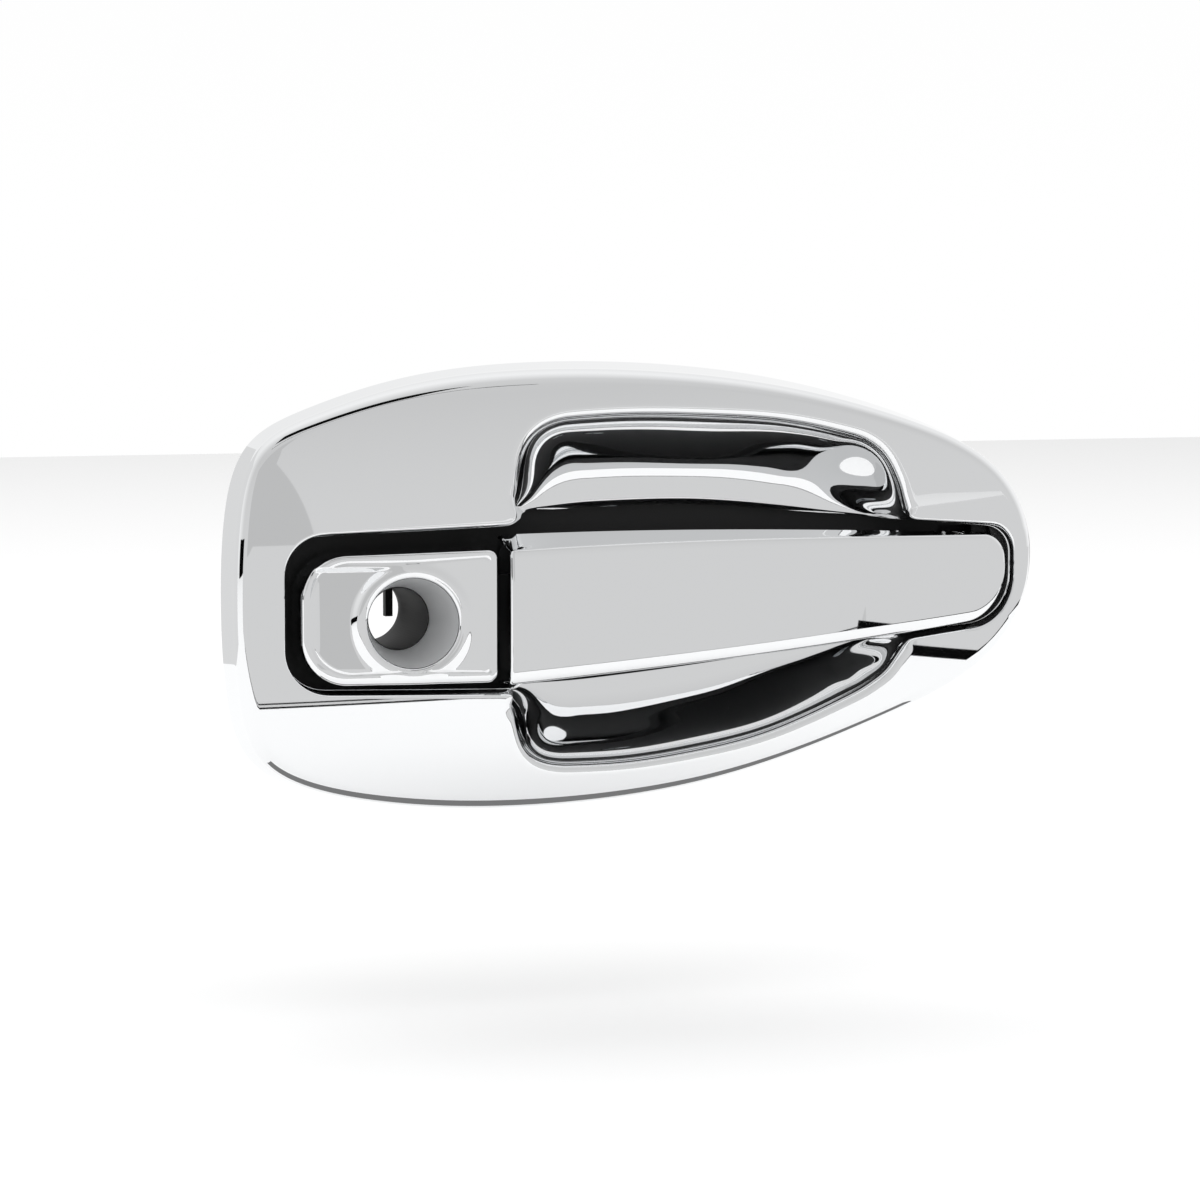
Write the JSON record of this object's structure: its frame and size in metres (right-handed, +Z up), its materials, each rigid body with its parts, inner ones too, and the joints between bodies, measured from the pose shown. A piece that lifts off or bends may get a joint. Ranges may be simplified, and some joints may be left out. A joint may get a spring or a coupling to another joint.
{
  "type": "car door handle",
  "caption": "Outside door handle: chromed teardrop surround with a finger bowl, hinged pull lever, lock plate and latch crank.",
  "frame": {"origin": "lock bore axis where it crosses the outside face of the door skin", "axes": "+X towards the hinged, tapered end; -Y outwards from the door, towards whoever pulls it; +Z up"},
  "size_m": [0.2524, 0.0803, 0.132],
  "materials": {
    "chrome_trim": "mirror plated",
    "black_nylon": "matte, moulded",
    "black_rubber": "matte",
    "grey_foam": "closed-cell foam",
    "brass_insert": "turned",
    "zinc_screw": "zinc plated",
    "pin_steel": "ground",
    "spring_steel": "oiled wire",
    "acetal": "natural acetal",
    "crank_zinc": "die-cast",
    "clip_green": "moulded nylon"
  },
  "bodies": {
    "base": {"surround": "chrome_trim", "base_housing": "black_nylon", "perimeter_gasket": "grey_foam", "mounting_inserts": "brass_insert", "surround_screws": "zinc_screw", "lock_carrier": "black_nylon", "lock_plate": "chrome_trim", "carrier_screws": "zinc_screw", "lever_bumper": "black_rubber", "leg_seal": "black_rubber", "hinge_pin": "pin_steel", "hinge_pin_clip": "spring_steel", "crank_pin": "pin_steel", "crank_pin_clip": "spring_steel", "return_spring": "spring_steel"},
    "lever": {"lever_shell": "chrome_trim", "lever_core": "black_nylon", "lever_screws": "zinc_screw", "hinge_bushes": "acetal", "hook_pad": "acetal"},
    "crank": {"bell_crank": "crank_zinc", "crank_bushes": "acetal"},
    "clip": {"rod_clip": "clip_green"}
  },
  "joints": [
    {"name": "lever_hinge", "type": "hinge", "parent": "base", "child": "lever", "pos_m": [0.1775, 0, 0.01], "axis": [0, 0, 1], "range_deg": [0, 11], "stiffness_Nm_per_rad": 2, "springref_deg": -11.46},
    {"name": "crank_pivot", "type": "hinge", "parent": "base", "child": "crank", "pos_m": [0.0494, 0.02, -0.0351], "axis": [1, 0, 0], "range_deg": [0, 45.38], "deforming": ["return_spring"]},
    {"name": "clip_swivel", "type": "hinge", "parent": "crank", "child": "clip", "pos_m": [0.0494, 0.04175, -0.04524], "axis": [1, 0, 0], "range_deg": [-25, 25]}
  ],
  "couplings": [
    {"joint": "crank_pivot", "follows": "lever_hinge", "ratio": 4.1254}
  ]
}
